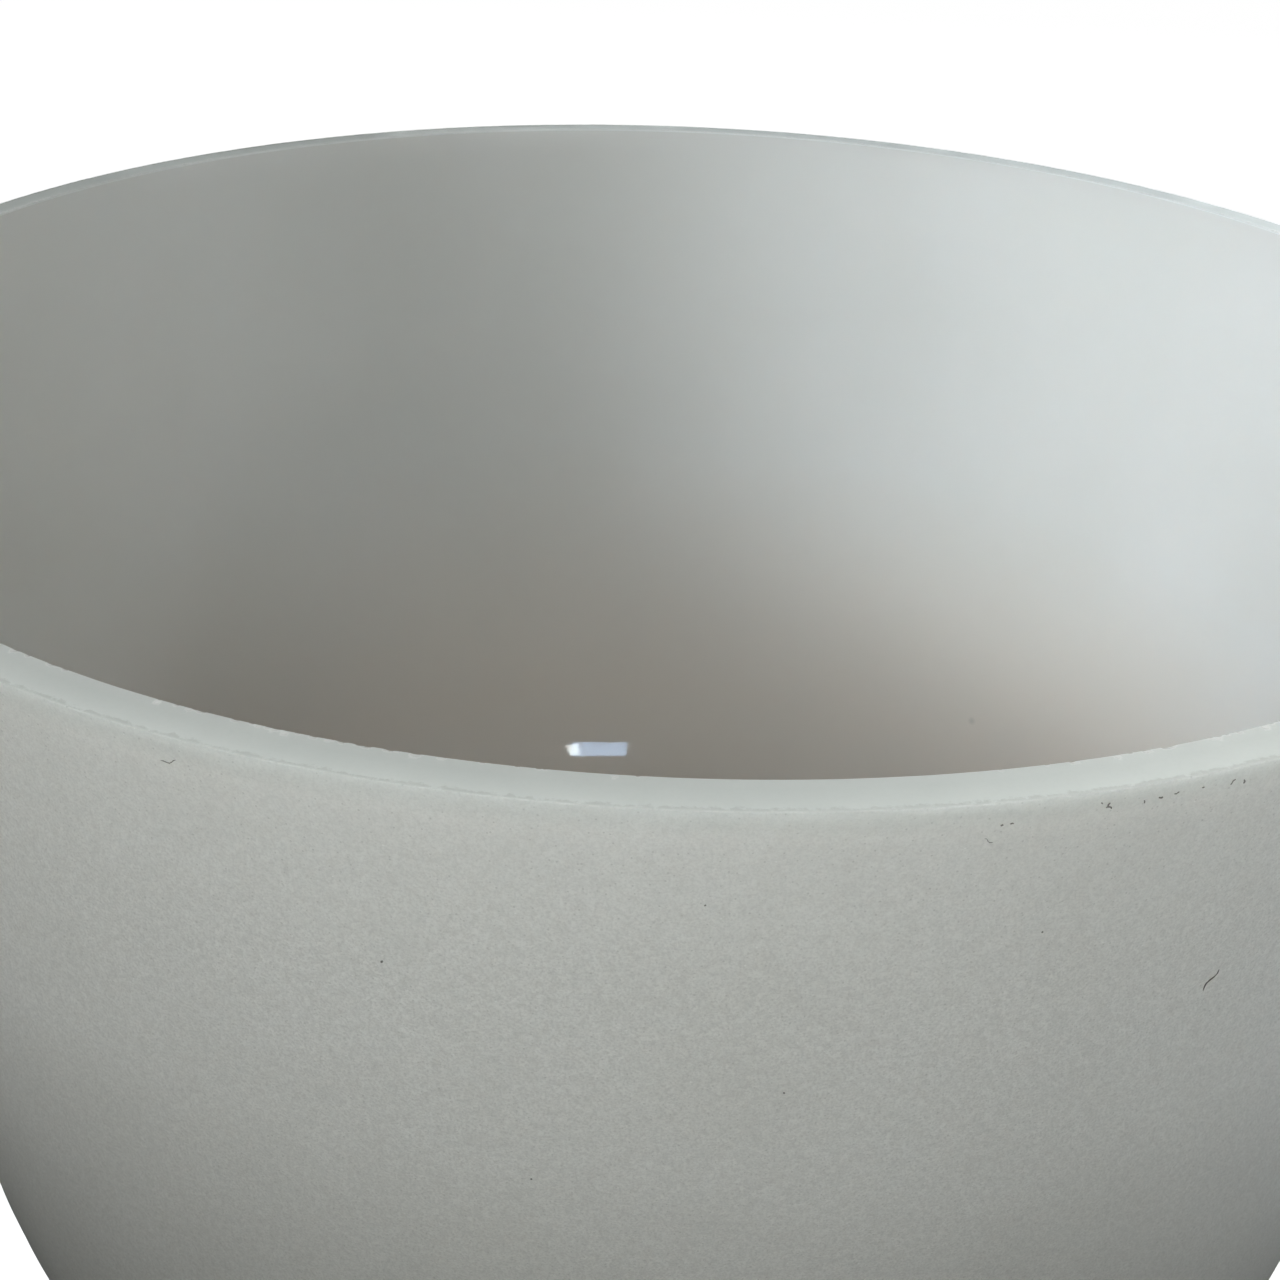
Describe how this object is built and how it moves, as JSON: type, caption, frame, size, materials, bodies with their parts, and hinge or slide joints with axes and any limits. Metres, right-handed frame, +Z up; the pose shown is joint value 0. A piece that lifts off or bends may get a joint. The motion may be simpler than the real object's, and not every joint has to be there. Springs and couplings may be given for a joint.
{
  "type": "quartz singing bowl",
  "caption": "Frosted quartz singing bowl with a flat ground rim and a rounded bottom, standing on a rubber ring, with a suede-covered wooden mallet beside it.",
  "frame": {"origin": "on the bowl's axis, on the surface that the ring and the mallet stand on", "axes": "+Z up along the bowl's axis, +X to the viewer's right and -Y towards the viewer, where the mallet lies"},
  "size_m": [0.3048, 0.3048, 0.2343],
  "materials": {
    "frosted_quartz": "matte",
    "ring_rubber": "matte",
    "mallet_wood": "satin",
    "mallet_rubber": "matte",
    "mallet_suede": "matte"
  },
  "bodies": {
    "ring": {"support_ring": "ring_rubber"},
    "bowl": {"bowl": "frosted_quartz"},
    "mallet": {"mallet_handle": "mallet_wood", "mallet_core": "mallet_rubber", "mallet_suede_wrap": "mallet_suede", "mallet_end_disc": "mallet_suede", "mallet_collar": "mallet_suede"}
  },
  "joints": [
    {"name": "bowl_lift", "type": "slide", "parent": "ring", "child": "bowl", "axis": [0, 0, 1], "range_m": [0, 0.15]},
    {"name": "mallet_pick_up", "type": "slide", "parent": "ring", "child": "mallet", "axis": [0, -0.7071, 0.7071], "range_m": [0, 0.25]}
  ]
}
